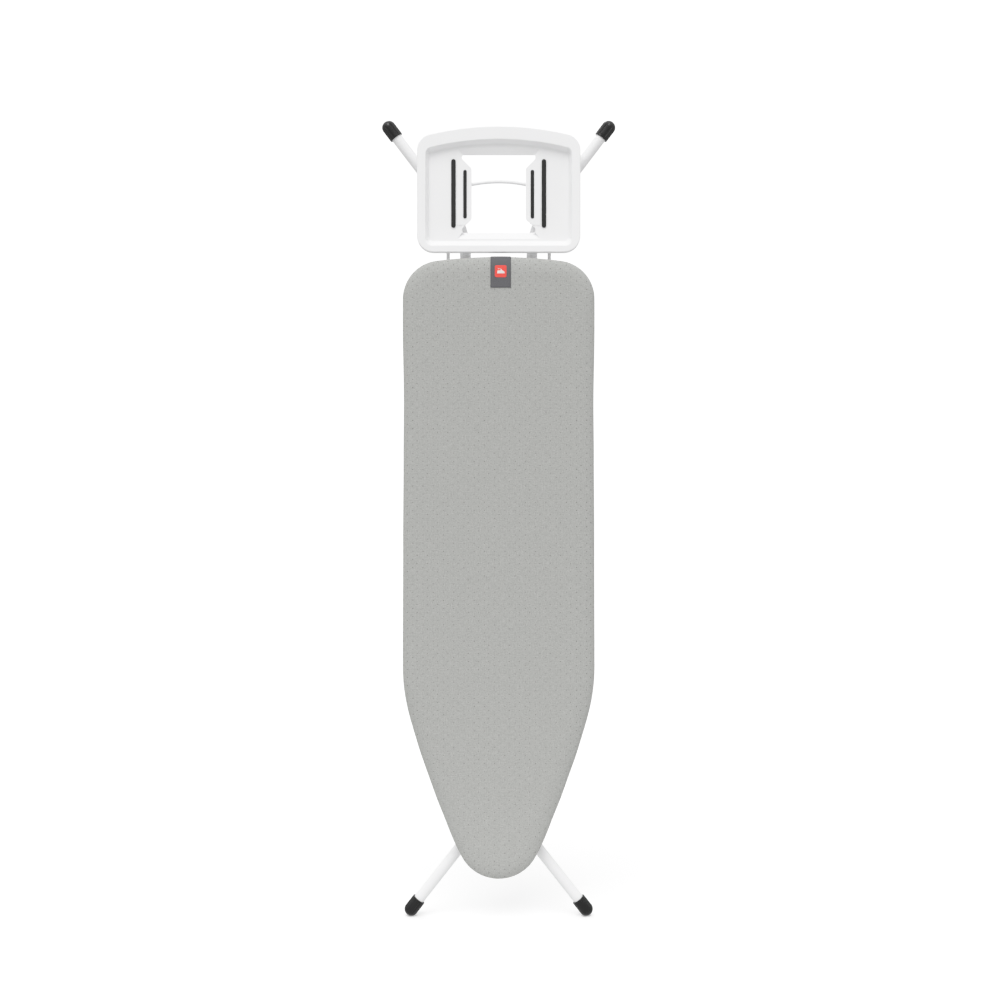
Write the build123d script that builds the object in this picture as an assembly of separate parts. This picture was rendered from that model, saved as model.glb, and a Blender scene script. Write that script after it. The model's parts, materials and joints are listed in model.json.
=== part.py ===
from build123d import *
import math
import os

# A folding ironing board stood upright on its nose-side feet, legs folded flat against its back.
#
# Units are millimetres. Row frame: +Z runs up along the board towards its square tail, the
# ironing surface faces -Y, the legs lie behind it towards +Y, and z = 0 is the floor under
# the two lower foot caps. The origin is the centre of the bottom of the whole envelope.
#
# Most pieces are drawn in board coordinates (x, s, d): x across, s down the board from the
# tail edge, d backwards from the ironing surface. The legs have coordinates of their own,
# (x, v, n): v along the leg from its upper pivot, n square to the plane of the leg.

# ---------------------------------------------------------------- driving dimensions
BOARD_LENGTH = 1240.0
BOARD_WIDTH = 380.0
TAIL_RADIUS = 1000.0            # the slightly bowed tail edge
TAIL_CORNER_RADIUS = 75.0
SHOULDER_RADIUS = 400.0         # where the parallel sides start to taper
TAPER_ANGLE = 19.6              # degrees, of the straight taper
CHEEK_ANGLE = 11.0              # degrees more, turned just before the nose
NOSE_RADIUS = 82.0

COVER_DEPTH = 27.0              # from the ironing surface to the back of the hem
CLOTH = 1.0
HEM_WIDTH = 30.0
PAD_FRONT = 1.05
PANEL_FRONT = 7.6
PANEL_BACK = 8.5
RIM_TUBE_RADIUS = 8.0
RIM_WALL = 1.2
RIM_INSET = 10.0                # rim tube centre line, in from the cover's outline

LEG_RADIUS = 11.0
LEG_BORE = 9.9
LEG_OVERHANG = 8.0              # tube beyond its upper pivot
LEG_BEND_RADIUS = 160.0
ARM = 470.0                     # upper pivot to the scissor bolt
LEG_REACH = 1261.4              # upper pivot to the centre of the foot cap's round end
FOLDED_ANGLE = 1.3              # degrees between each leg and the board when folded
PIVOT_DEPTH = 25.0
BOLT_S = 524.6                  # scissor bolt, measured from the tail edge

INNER_X = 40.0
INNER_FOOT_X = 177.4
INNER_SPLAY = 38.0
OUTER_X = 67.0
OUTER_FOOT_X = 221.6
OUTER_SPLAY = 37.2

ROD_RADIUS = 5.0                # the two cross rods that carry the legs
ROD_FIT = 0.05                  # radial clearance of every turning fit on them
CAP_RADIUS = 14.0
CAP_LENGTH = 26.0               # straight part of a foot cap

TRAY_HALF_WIDTH = 163.0
TRAY_TOP = -261.5               # apex of the bowed far edge
TRAY_BOTTOM = -10.0
TRAY_BOW_RADIUS = 600.0
TRAY_FRONT = 8.0
TRAY_FLOOR = 22.0
TRAY_BACK = 26.0
TRAY_WALL = 2.5
STRIP_TOP = 19.8

WIRE_RADIUS = 3.5
WIRE_X = 101.5
WIRE_DEPTH = 31.0
WIRE_END = 128.0

RAIL_START = 655.0
RAIL_END = 1012.0
RAIL_BACK = 38.0
TOOTH_OFFSET = 24.0             # pawl tooth, from the sliding rod towards the nose
TOOTH_TIP = 16.2
LEVER_SWING = 9.5               # degrees from lying clear to engaged
FOLD_STOPS = (47.5, 41.7, 36.4, 31.4)   # leg angle at each working height

LOCK_V = 677.0                  # transport lock, along the outer legs
INNER_BRACES = (249.0, 620.0, 1000.0)
END_BRACE_V = 930.0

# ---------------------------------------------------------------- derived places
HALF_WIDTH = BOARD_WIDTH / 2
COS0 = math.cos(math.radians(FOLDED_ANGLE))
SIN0 = math.sin(math.radians(FOLDED_ANGLE))
FIXED_PIVOT_S = BOLT_S - ARM * COS0
SLIDE_PIVOT_S = BOLT_S + ARM * COS0
TAIL_HEIGHT = FIXED_PIVOT_S + LEG_REACH * COS0 + CAP_RADIUS
DEPTH = PIVOT_DEPTH + LEG_REACH * SIN0 + CAP_RADIUS

BOARD = Plane(origin=(0, -DEPTH / 2, TAIL_HEIGHT), x_dir=(1, 0, 0), z_dir=(0, 1, 0))
INNER = Plane(origin=(0, FIXED_PIVOT_S, PIVOT_DEPTH), x_dir=(1, 0, 0), z_dir=(0, -SIN0, COS0))
OUTER = Plane(origin=(0, SLIDE_PIVOT_S, PIVOT_DEPTH), x_dir=(1, 0, 0), z_dir=(0, -SIN0, -COS0))

NODES = {}


# ---------------------------------------------------------------- small helpers
def on_board(shape):
    return BOARD.location * shape


def on_inner(shape):
    return BOARD.location * INNER.location * shape


def on_outer(shape):
    return BOARD.location * OUTER.location * shape


def block(x, y, z):
    """A box from three (low, high) pairs."""
    size = (x[1] - x[0], y[1] - y[0], z[1] - z[0])
    return Pos(x[0], y[0], z[0]) * Box(*size, align=(Align.MIN, Align.MIN, Align.MIN))


def bar(start, end, radius):
    """A round bar between two points."""
    run = Vector(*end) - Vector(*start)
    plane = Plane(origin=start, z_dir=run)
    return plane.location * Cylinder(radius, run.length, align=(Align.CENTER, Align.CENTER, Align.MIN))


def cross_bar(x0, x1, y, z, radius):
    return bar((x0, y, z), (x1, y, z), radius)


def slab(face, low, high):
    """A flat face drawn at z = 0, made solid from low to high."""
    return Pos(0, 0, low) * extrude(face, amount=high - low, dir=(0, 0, 1))


def polygon(*points):
    return make_face(Polyline(*points, close=True))


def swept(path, radius):
    start = Plane(origin=path @ 0, z_dir=path % 0)
    return sweep(start * Circle(radius), path=path)


def tube(path, outer, inner):
    return swept(path, outer) - swept(path, inner)


def mirrored(shape):
    return mirror(shape, about=Plane.YZ)


def group(*shapes):
    solids = []
    for shape in shapes:
        solids.extend(shape.solids())
    return Compound(solids)


def slotted(length, width):
    """A strip outline along y with round ends."""
    return Rot(0, 0, 90) * SlotOverall(length, width)


# ---------------------------------------------------------------- board outline
def outline_arcs():
    """Half outline as (centre x, centre s, radius, first normal, last normal), in degrees."""
    corner_x = HALF_WIDTH - TAIL_CORNER_RADIUS
    corner_s = TAIL_RADIUS - math.sqrt((TAIL_RADIUS - TAIL_CORNER_RADIUS) ** 2 - corner_x ** 2)
    tail_end = math.degrees(math.atan2(corner_s - TAIL_RADIUS, corner_x))
    first, last = math.radians(TAPER_ANGLE), math.radians(TAPER_ANGLE + CHEEK_ANGLE)
    left_over = HALF_WIDTH - SHOULDER_RADIUS * (1 - math.cos(first))
    left_over -= SHOULDER_RADIUS * (math.cos(first) - math.cos(last)) + NOSE_RADIUS * math.cos(last)
    taper_length = left_over / math.sin(first)
    nose_s = BOARD_LENGTH - NOSE_RADIUS
    cheek_x = -(SHOULDER_RADIUS - NOSE_RADIUS) * math.cos(last)
    cheek_s = nose_s - (SHOULDER_RADIUS - NOSE_RADIUS) * math.sin(last)
    shoulder_s = cheek_s - taper_length * math.cos(first)
    return [
        (0, TAIL_RADIUS, TAIL_RADIUS, -90, tail_end),
        (corner_x, corner_s, TAIL_CORNER_RADIUS, tail_end, 0),
        (HALF_WIDTH - SHOULDER_RADIUS, shoulder_s, SHOULDER_RADIUS, 0, TAPER_ANGLE),
        (cheek_x, cheek_s, SHOULDER_RADIUS, TAPER_ANGLE, TAPER_ANGLE + CHEEK_ANGLE),
        (0, nose_s, NOSE_RADIUS, TAPER_ANGLE + CHEEK_ANGLE, 90),
    ]


def half_outline(inset):
    """Edges from the tail apex to the nose tip, along +x."""
    edges = []
    last_point = None
    for centre_x, centre_s, radius, first, last in outline_arcs():
        points = []
        for angle in (first, (first + last) / 2, last):
            normal = math.radians(angle)
            reach = radius - inset
            points.append((centre_x + reach * math.cos(normal), centre_s + reach * math.sin(normal)))
        if last_point and math.dist(last_point, points[0]) > 0.001:
            edges.append(Line(last_point, points[0]))
        edges.append(ThreePointArc(*points))
        last_point = points[2]
    return edges


def board_face(inset):
    right = half_outline(inset)
    left = [mirrored(edge) for edge in right]
    return make_face(right + left)


def rim_path():
    """The rim tube's centre line, open by a hair at the tail where its ends are butted."""
    gap = 0.5
    centre_x, centre_s, radius, _, last = outline_arcs()[0]
    reach = radius - RIM_INSET
    first = math.degrees(math.asin(gap / reach)) - 90
    points = []
    for angle in (first, (first + last) / 2, last):
        normal = math.radians(angle)
        points.append((centre_x + reach * math.cos(normal), centre_s + reach * math.sin(normal)))
    right = [ThreePointArc(*points)] + half_outline(RIM_INSET)[1:]
    left = [mirrored(edge) for edge in reversed(right)]
    return Wire([edge.edge() for edge in right + left])


# ---------------------------------------------------------------- board body
DIAMOND_PITCH_X = 36.0
DIAMOND_PITCH_S = 52.0
DIAMOND_WIDTH = 24.0
DIAMOND_LENGTH = 38.0
RIB_S = (130.0, 360.0, 530.0, 1080.0)
RIB_BACKS = (13.5, 16.5, 16.5, 16.5)
RIB_WIDTH = 20.0
PLAIN_ZONES = (                 # unpierced patches under the fittings: x pair, s pair
    ((78, 122), (28, 126)),
    ((80, 122), (648, 1020)),
    ((0, 12), (686, 906)),
)


def is_plain(x, s):
    """True where a diamond would run under a rib or a fitting."""
    half_w, half_l = DIAMOND_WIDTH / 2, DIAMOND_LENGTH / 2
    for rib in RIB_S:
        if abs(s - rib) < half_l + RIB_WIDTH / 2:
            return True
    for (x0, x1), (s0, s1) in PLAIN_ZONES:
        if abs(x) + half_w > x0 and abs(x) - half_w < x1 and s + half_l > s0 and s - half_l < s1:
            return True
    return False


def diamond_places():
    region = board_face(22).face()
    places = []
    rows = int(BOARD_LENGTH / (DIAMOND_PITCH_S / 2))
    for row in range(rows):
        s = DIAMOND_PITCH_S / 2 * (row + 1)
        shift = DIAMOND_PITCH_X / 2 * (row % 2)
        for column in range(-6, 7):
            x = column * DIAMOND_PITCH_X + shift
            half_w, half_l = DIAMOND_WIDTH / 2, DIAMOND_LENGTH / 2
            tips = ((x - half_w, s), (x + half_w, s), (x, s - half_l), (x, s + half_l))
            if is_plain(x, s) or not all(region.is_inside((a, b, 0)) for a, b in tips):
                continue
            places.append((x, s))
    return places


def board_panel():
    """Pierced steel sheet that carries the pad, with diamond-shaped steam holes."""
    holes = []
    half_w, half_l = DIAMOND_WIDTH / 2, DIAMOND_LENGTH / 2
    for x, s in diamond_places():
        corners = ((x - half_w, s), (x, s + half_l), (x + half_w, s), (x, s - half_l))
        holes.append(Wire(Polyline(*corners, close=True).edges()))
    for x, s in rivet_places():
        holes.append(Wire(CenterArc((x, s), RIVET_RADIUS + 0.05, 0, 360).edges()))
    face = Face(board_face(4).face().outer_wire(), holes)
    return slab(face, PANEL_FRONT, PANEL_BACK)


def rim_tube():
    ring = tube(rim_path(), RIM_TUBE_RADIUS, RIM_TUBE_RADIUS - RIM_WALL)
    return Pos(0, 0, PANEL_BACK + RIM_TUBE_RADIUS) * ring


def cross_rib(s, back):
    """Pressed steel channel, open towards the panel, its ends following the rim tube."""
    wall = 1.5
    half = RIB_WIDTH / 2
    channel = block((-HALF_WIDTH, HALF_WIDTH), (s - half, s + half), (PANEL_BACK, back))
    channel -= block((-HALF_WIDTH, HALF_WIDTH), (s - half + wall, s + half - wall), (0, back - wall))
    inside_rim = RIM_INSET + RIM_TUBE_RADIUS + 0.3
    return channel & slab(board_face(inside_rim), 0, back)


# Slide rails: channels that face each other and hold the nylon glides.
RAIL_INNER_X = 84.0
RAIL_WEB_X = 104.0
RAIL_SHEET = 2.0
RAIL_FOOT_X = 118.0
RAIL_RIVET_X = 112.0
RAIL_RIVETS_S = (672.0, 833.0, 995.0)


def slide_rail():
    start, end = RAIL_START, RAIL_END
    web = RAIL_WEB_X
    floor = PANEL_BACK + RAIL_SHEET
    roof = RAIL_BACK - RAIL_SHEET
    lip = 1.5
    rail = block((RAIL_INNER_X, RAIL_FOOT_X), (start, end), (PANEL_BACK, floor))
    rail += block((web, web + RAIL_SHEET), (start, end), (PANEL_BACK, RAIL_BACK))
    rail += block((RAIL_INNER_X, web), (start, end), (roof, RAIL_BACK))
    rail += block((RAIL_INNER_X, RAIL_INNER_X + lip), (start, end), (floor, floor + 3))
    rail += block((RAIL_INNER_X, RAIL_INNER_X + lip), (start, end), (roof - 3, roof))
    for s in RAIL_RIVETS_S:
        rail -= bar((RAIL_RIVET_X, s, 0), (RAIL_RIVET_X, s, 20), RIVET_RADIUS + 0.05)
    return rail


# Height rack: a notched strip down the middle that the pawl's tooth drops into.
RACK_HALF = 9.0
RACK_BACK = 15.5
NOTCH_FLOOR = 11.5
RACK_S = (695.0, 895.0)
RACK_RIVETS_S = (740.0, 802.0, 853.0)


def notch_places():
    """Where the engaged tooth stands at each working height."""
    tip = math.atan2(PIVOT_DEPTH - TOOTH_TIP, TOOTH_OFFSET) + math.radians(LEVER_SWING)
    reach = math.hypot(PIVOT_DEPTH - TOOTH_TIP, TOOTH_OFFSET) * math.cos(tip)
    places = []
    for angle in FOLD_STOPS:
        places.append(FIXED_PIVOT_S + 2 * ARM * math.cos(math.radians(angle)) + reach)
    return places


def height_rack():
    rack = block((-RACK_HALF, RACK_HALF), RACK_S, (PANEL_BACK, RACK_BACK))
    for s in notch_places():
        outer, inner = RACK_BACK + 1, NOTCH_FLOOR
        mouth = polygon((s - 7, outer), (s - 4.5, inner), (s + 4.5, inner), (s + 5, outer))
        rack -= prism_x(mouth, RACK_HALF + 1)
    for s in RACK_RIVETS_S:
        rack -= bar((0, s, 0), (0, s, 20), RIVET_RADIUS + 0.05)
        rack -= bar((0, s, NOTCH_FLOOR), (0, s, 20), RIVET_HEAD_RADIUS + 0.3)
    return rack


def prism_x(face, half_width):
    """A face drawn in (s, d), made solid across the board from -half_width to half_width."""
    side = Plane(origin=(-half_width, 0, 0), x_dir=(0, 1, 0), z_dir=(1, 0, 0))
    return side * extrude(face, amount=2 * half_width, dir=(0, 0, 1))


# Pivot brackets at the tail: angle brackets whose ears carry the fixed cross rod.
EAR_X = (82.0, 85.0)
EAR_BACK = 33.0
BRACKET_S = (41.0, 69.5)
BRACKET_FOOT_X = 112.0
BRACKET_RIVET_X = 104.0
BRACKET_RIVETS_S = (47.0, 63.5)


def pivot_bracket():
    ear = block(EAR_X, BRACKET_S, (PANEL_BACK, EAR_BACK))
    corners = ear.edges().filter_by(Axis.X).group_by(Axis.Z)[-1]
    ear = fillet(corners, 9)
    foot = block((EAR_X[1], BRACKET_FOOT_X), BRACKET_S, (PANEL_BACK, PANEL_BACK + 2))
    bracket = ear + foot
    bracket -= cross_bar(EAR_X[0] - 1, EAR_X[1] + 1, FIXED_PIVOT_S, PIVOT_DEPTH, ROD_RADIUS + ROD_FIT)
    for s in BRACKET_RIVETS_S:
        bracket -= bar((BRACKET_RIVET_X, s, 0), (BRACKET_RIVET_X, s, 20), RIVET_RADIUS + 0.05)
    return bracket


# Holder brackets: a sleeve on a riveted foot that clamps one leg of the holder's wire.
SLEEVE_S = (82.0, 120.0)
SLEEVE_RADIUS = 6.0
HOLDER_FOOT_X = (93.0, 119.0)
HOLDER_RIVET_X = 112.5
HOLDER_RIVETS_S = (88.0, 112.0)


def holder_bracket():
    bracket = block(HOLDER_FOOT_X, SLEEVE_S, (PANEL_BACK, PANEL_BACK + 2))
    bracket += block((WIRE_X - 1.5, WIRE_X + 1.5), SLEEVE_S, (PANEL_BACK, WIRE_DEPTH - 4))
    bracket += bar((WIRE_X, SLEEVE_S[0], WIRE_DEPTH), (WIRE_X, SLEEVE_S[1], WIRE_DEPTH), SLEEVE_RADIUS)
    start, end = (WIRE_X, SLEEVE_S[0] - 1, WIRE_DEPTH), (WIRE_X, SLEEVE_S[1] + 1, WIRE_DEPTH)
    bracket -= bar(start, end, WIRE_RADIUS + 0.05)
    for s in HOLDER_RIVETS_S:
        bracket -= bar((HOLDER_RIVET_X, s, 0), (HOLDER_RIVET_X, s, 20), RIVET_RADIUS + 0.05)
    return bracket


RIVET_RADIUS = 2.0
RIVET_HEAD_RADIUS = 4.0


def rivet_places():
    """Every rivet through the panel, both sides of the board."""
    places = []
    for sign in (-1, 1):
        places += [(sign * RAIL_RIVET_X, s) for s in RAIL_RIVETS_S]
        places += [(sign * BRACKET_RIVET_X, s) for s in BRACKET_RIVETS_S]
        places += [(sign * HOLDER_RIVET_X, s) for s in HOLDER_RIVETS_S]
    places += [(0, s) for s in RACK_RIVETS_S]
    return places


def rivet(x, s, seat):
    """Flush at the panel's front, domed behind its seat."""
    shank = bar((x, s, PANEL_FRONT), (x, s, seat), RIVET_RADIUS)
    head = bar((x, s, seat), (x, s, seat + 1.8), RIVET_HEAD_RADIUS)
    head = fillet(head.edges().group_by(Axis.Z)[-1], 1.2)
    return shank + head


def frame_rivets():
    rivets = []
    for x, s in rivet_places():
        seat = NOTCH_FLOOR if x == 0 else PANEL_BACK + 2
        rivets.append(rivet(x, s, seat))
    return group(*rivets)


# ---------------------------------------------------------------- pad and cover
LABEL_HALF = 20.25
LABEL_S = (9.5, 62.0)
LABEL_DEPTH = 0.5
LABEL_X = 4.0


def underlay_pad():
    pad = slab(board_face(4), PAD_FRONT, PANEL_FRONT)
    return fillet(pad.edges().group_by(Axis.Z)[0], 4.8)


def cover():
    """Fitted cloth cover: face, rolled edge and a hem turned in behind the rim."""
    shell = slab(board_face(0), 0, COVER_DEPTH)
    shell = fillet(shell.edges().group_by(Axis.Z)[0], 9)
    shell = fillet(shell.edges().group_by(Axis.Z)[-1], 5)
    inside = slab(board_face(CLOTH), CLOTH, COVER_DEPTH - CLOTH)
    inside = fillet(inside.edges().group_by(Axis.Z)[0], 8)
    inside = fillet(inside.edges().group_by(Axis.Z)[-1], 4)
    shell -= inside
    shell -= slab(board_face(HEM_WIDTH), COVER_DEPTH - 3, COVER_DEPTH + 1)
    return shell - label_solid()


def label_solid():
    return block((LABEL_X - LABEL_HALF, LABEL_X + LABEL_HALF), LABEL_S, (0, LABEL_DEPTH))


# ---------------------------------------------------------------- holder tray
RIM_SIDE = 17.0
RIM_TOP = 26.5
RIM_BOTTOM = 14.0
WALL_RUN_SIDE = 6.0
WALL_RUN_TOP = 7.0
WALL_RUN_BOTTOM = 9.0
MOUTH_CORNER = 13.0
TRAY_CORNER = 33.0
DISH_FILLET = 4.0
RIM_INNER_FILLET = 2.0
RIM_OUTER_FILLET = 2.5
LIP_RUN = 12.5
LAND_FRONT = 21.2               # raised lands that carry the inner strips
LAND_END_X = 83.0
LIP_BACK = 27.0                 # where the sloped lips end, behind the floor


def tray_face(side, top, bottom, corner):
    """The tray outline moved in by side, top and bottom, with rounded corners."""
    half = TRAY_HALF_WIDTH - side
    radius = TRAY_BOW_RADIUS - top
    apex = TRAY_TOP + top
    shoulder = apex + radius - math.sqrt(radius ** 2 - half ** 2)
    foot = TRAY_BOTTOM - bottom
    edges = [
        Line((-half, foot), (half, foot)),
        Line((half, foot), (half, shoulder)),
        ThreePointArc((half, shoulder), (0, apex), (-half, shoulder)),
        Line((-half, shoulder), (-half, foot)),
    ]
    face = make_face(edges)
    return fillet(face.vertices(), corner)


def between(first, first_depth, second, second_depth):
    """A straight-walled solid between two outlines at two depths."""
    return loft([Pos(0, 0, first_depth) * first, Pos(0, 0, second_depth) * second], ruled=True)


# The window in the tray floor: wide at both ends, waisted between the inner strips.
WINDOW_WIDE = 73.3
WINDOW_WAIST = 54.2
WINDOW_TOP = -206.5
WINDOW_BOTTOM = -51.0
WAIST_S = (-179.0, -77.5)       # where the waist's straight edges end
EAR_S = (-198.0, -59.7)         # where the wide ends' corners start
LIP_END_X = 82.0
EAR_FILLET = 4.5
WAIST_FILLET = 7.0


def window_face():
    right = [(WINDOW_WIDE, WINDOW_BOTTOM), (WINDOW_WIDE, EAR_S[1]), (WINDOW_WAIST, WAIST_S[1])]
    right += [(WINDOW_WAIST, WAIST_S[0]), (WINDOW_WIDE, EAR_S[0]), (WINDOW_WIDE, WINDOW_TOP)]
    left = [(-x, s) for x, s in reversed(right)]
    face = polygon(*(right + left))
    waist = [corner for corner in face.vertices() if abs(corner.X) < WINDOW_WAIST + 1]
    face = fillet(waist, WAIST_FILLET)
    ears = [corner for corner in face.vertices() if abs(corner.X) > WINDOW_WIDE - 1]
    return fillet(ears, EAR_FILLET)


def land(sign):
    """Raised pad beside the window's waist, under an inner strip."""
    far, near = WAIST_S
    points = [(LAND_END_X, far - 10), (WINDOW_WAIST + 12, far - 12), (WINDOW_WAIST, far)]
    points += [(WINDOW_WAIST, near), (WINDOW_WAIST + 12, near + 11), (LAND_END_X, near + 12)]
    face = polygon(*[(sign * x, s) for x, s in points])
    return slab(face, LAND_FRONT, TRAY_FLOOR)


def lip(outer_s, inner_s):
    """Floor that slopes back towards one end of the window, with cheeks at its ends."""
    outward = math.copysign(1, outer_s - inner_s)
    wall = TRAY_WALL
    end_x = LIP_END_X
    floor_hole = polygon((-end_x, outer_s), (end_x, outer_s), (WINDOW_WIDE, inner_s), (-WINDOW_WIDE, inner_s))
    grown_s = outer_s + outward * wall
    wide, narrow = end_x + 3, WINDOW_WIDE + 3
    grown = polygon((-wide, grown_s), (wide, grown_s), (narrow, inner_s), (-narrow, inner_s))
    body = slab(grown, TRAY_FLOOR, LIP_BACK + wall)
    above = polygon((outer_s, TRAY_FLOOR), (inner_s, LIP_BACK), (inner_s, 0), (outer_s, 0))
    below = polygon(
        (grown_s, TRAY_FLOOR + wall),
        (outer_s, TRAY_FLOOR + wall),
        (inner_s, LIP_BACK + wall),
        (inner_s, 40),
        (grown_s, 40),
    )
    sunk = slab(floor_hole, 0, 40) & prism_x(above, 90)
    return body - prism_x(below, 90), sunk


STRIPS = {                      # x, s of the middle, width, length, seat depth
    "strip_outer": (90.5, -129.0, 9.0, 137.0, TRAY_FLOOR + 0.8),
    "strip_inner": (67.4, -127.5, 7.0, 97.0, LAND_FRONT + 0.8),
}


def strip(name, sign, top=STRIP_TOP, grow=0.0):
    x, s, width, length, seat = STRIPS[name]
    face = Pos(sign * x, s, 0) * slotted(length + 2 * grow, width + 2 * grow)
    return slab(face, top, seat)


def silicone_strip(name, sign):
    body = strip(name, sign)
    return fillet(body.edges().group_by(Axis.Z)[0], 0.9)


def is_mouth(edge):
    """True for the front edges around the dish, not those around the tray's outside."""
    middle = edge.center()
    across = abs(middle.X) < TRAY_HALF_WIDTH - RIM_SIDE + 1
    return across and TRAY_TOP + RIM_TOP - 1 < middle.Y < TRAY_BOTTOM - RIM_BOTTOM + 1


def tray_skin():
    """Rim, drafted walls and floor, with soft edges, hollow under the rim."""
    rim = (RIM_SIDE, RIM_TOP, RIM_BOTTOM)
    floor = (RIM_SIDE + WALL_RUN_SIDE, RIM_TOP + WALL_RUN_TOP, RIM_BOTTOM + WALL_RUN_BOTTOM)
    mouth = tray_face(*rim, MOUTH_CORNER)
    dish = between(mouth, TRAY_FRONT, tray_face(*floor, MOUTH_CORNER - 5), TRAY_FLOOR)
    dish = fillet(dish.edges().group_by(Axis.Z)[-1], DISH_FILLET)
    outside = [value - TRAY_WALL for value in rim]
    outside_floor = [value - TRAY_WALL for value in floor]
    under_mouth = tray_face(*outside, MOUTH_CORNER + 2)
    under_floor = tray_face(*outside_floor, MOUTH_CORNER - 3)
    back = between(under_mouth, TRAY_FRONT, under_floor, TRAY_FLOOR + TRAY_WALL)
    back = fillet(back.edges().group_by(Axis.Z)[-1], DISH_FILLET + TRAY_WALL)
    inner_face = tray_face(TRAY_WALL, TRAY_WALL, TRAY_WALL, TRAY_CORNER - TRAY_WALL)
    hollow = slab(inner_face, TRAY_FRONT + TRAY_WALL, TRAY_BACK + 1)
    hollow = fillet(hollow.edges().group_by(Axis.Z)[0], RIM_OUTER_FILLET - 1)
    tray = slab(tray_face(0, 0, 0, TRAY_CORNER), TRAY_FRONT, TRAY_BACK) - dish
    front = tray.edges().group_by(Axis.Z)[0]
    tray = fillet([edge for edge in front if is_mouth(edge)], RIM_INNER_FILLET)
    front = tray.edges().group_by(Axis.Z)[0]
    tray = fillet([edge for edge in front if not is_mouth(edge)], RIM_OUTER_FILLET)
    return tray - (hollow - back)


def holder_tray():
    """Moulded iron rest: a dished tray with a windowed floor."""
    tray = tray_skin()
    far, near = (WINDOW_TOP - LIP_RUN, WINDOW_TOP), (WINDOW_BOTTOM + LIP_RUN, WINDOW_BOTTOM)
    for outer_s, inner_s in (far, near):
        slope, sunk = lip(outer_s, inner_s)
        tray = tray + slope - sunk
    tray = tray + land(1) + land(-1)
    tray -= slab(window_face(), 0, 40)
    for name in STRIPS:
        for sign in (-1, 1):
            tray -= strip(name, sign, top=TRAY_FRONT)
    for x, s in clip_screw_places():
        tray -= bar((x, s, TRAY_FLOOR + 0.5), (x, s, 40), CLIP_SCREW_RADIUS)
    return tray


# ---------------------------------------------------------------- holder wire and clips
WIRE_ARCH_TOP = -153.9
WIRE_ARCH_RADIUS = 270.0
WIRE_CORNER = 22.0
CLIP_S = (-40.0, -85.0)
CLIP_SCREW_RADIUS = 1.6
CLIP_SCREW_OFFSET = 12.5


def wire_path():
    """One bent rod: two straight legs and a bowed bridge with tight corners."""
    centre_s = WIRE_ARCH_TOP + WIRE_ARCH_RADIUS
    corner_x = WIRE_X - WIRE_CORNER
    corner_s = centre_s - math.sqrt((WIRE_ARCH_RADIUS - WIRE_CORNER) ** 2 - corner_x ** 2)
    scale = WIRE_ARCH_RADIUS / (WIRE_ARCH_RADIUS - WIRE_CORNER)
    arch_x = corner_x * scale
    arch_s = centre_s + (corner_s - centre_s) * scale
    turn = math.atan2(centre_s - corner_s, corner_x) / 2
    mid_x = corner_x + WIRE_CORNER * math.cos(turn)
    mid_s = corner_s - WIRE_CORNER * math.sin(turn)
    return Wire([
        Line((WIRE_X, WIRE_END), (WIRE_X, corner_s)),
        ThreePointArc((WIRE_X, corner_s), (mid_x, mid_s), (arch_x, arch_s)),
        ThreePointArc((arch_x, arch_s), (0, WIRE_ARCH_TOP), (-arch_x, arch_s)),
        ThreePointArc((-arch_x, arch_s), (-mid_x, mid_s), (-WIRE_X, corner_s)),
        Line((-WIRE_X, corner_s), (-WIRE_X, WIRE_END)),
    ])


def holder_wire():
    return Pos(0, 0, WIRE_DEPTH) * swept(wire_path(), WIRE_RADIUS)


def clip_screw_places():
    places = []
    for sign in (-1, 1):
        places += [(sign * (WIRE_X + CLIP_SCREW_OFFSET), s) for s in CLIP_S]
    return places


def wire_clip(s):
    """Saddle clip over the wire, screwed up into the tray floor beside it."""
    seat = TRAY_FLOOR + TRAY_WALL
    clip = block((WIRE_X - 6, WIRE_X + 6), (s - 6, s + 6), (seat, WIRE_DEPTH + 5.5))
    edges = clip.edges().filter_by(Axis.Y).group_by(Axis.Z)[-1]
    clip = fillet(edges, 4)
    clip += block((WIRE_X + 6, WIRE_X + 18), (s - 6, s + 6), (seat, seat + 3.5))
    clip -= bar((WIRE_X, s - 7, WIRE_DEPTH), (WIRE_X, s + 7, WIRE_DEPTH), WIRE_RADIUS + 0.05)
    x = WIRE_X + CLIP_SCREW_OFFSET
    return clip - bar((x, s, seat - 1), (x, s, seat + 5), CLIP_SCREW_RADIUS)


def clip_screw(x, s):
    seat = TRAY_FLOOR + TRAY_WALL + 3.5
    head = bar((x, s, seat), (x, s, seat + 2.2), 3.4)
    head = fillet(head.edges().group_by(Axis.Z)[-1], 1.4)
    screw = head + bar((x, s, TRAY_FLOOR + 0.7), (x, s, seat), CLIP_SCREW_RADIUS - 0.05)
    screw -= block((x - 2.4, x + 2.4), (s - 0.4, s + 0.4), (seat + 1.2, seat + 3))
    return screw - block((x - 0.4, x + 0.4), (s - 2.4, s + 2.4), (seat + 1.2, seat + 3))


def wire_end_nut():
    """Cap nut that keeps the wire's end in its sleeve."""
    nut = bar((WIRE_X, SLEEVE_S[1] + 0.2, WIRE_DEPTH), (WIRE_X, WIRE_END + 3, WIRE_DEPTH), 6)
    nut = fillet(nut.edges().group_by(Axis.Y)[-1], 2.5)
    start, end = (WIRE_X, SLEEVE_S[1], WIRE_DEPTH), (WIRE_X, WIRE_END + 0.2, WIRE_DEPTH)
    return nut - bar(start, end, WIRE_RADIUS + 0.03)


# ---------------------------------------------------------------- legs
def leg_path(x, foot_x, splay):
    bend_v = LEG_REACH - (foot_x - x) / math.tan(math.radians(splay))
    return FilletPolyline((x, -LEG_OVERHANG), (x, bend_v), (foot_x, LEG_REACH), radius=LEG_BEND_RADIUS)


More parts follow.
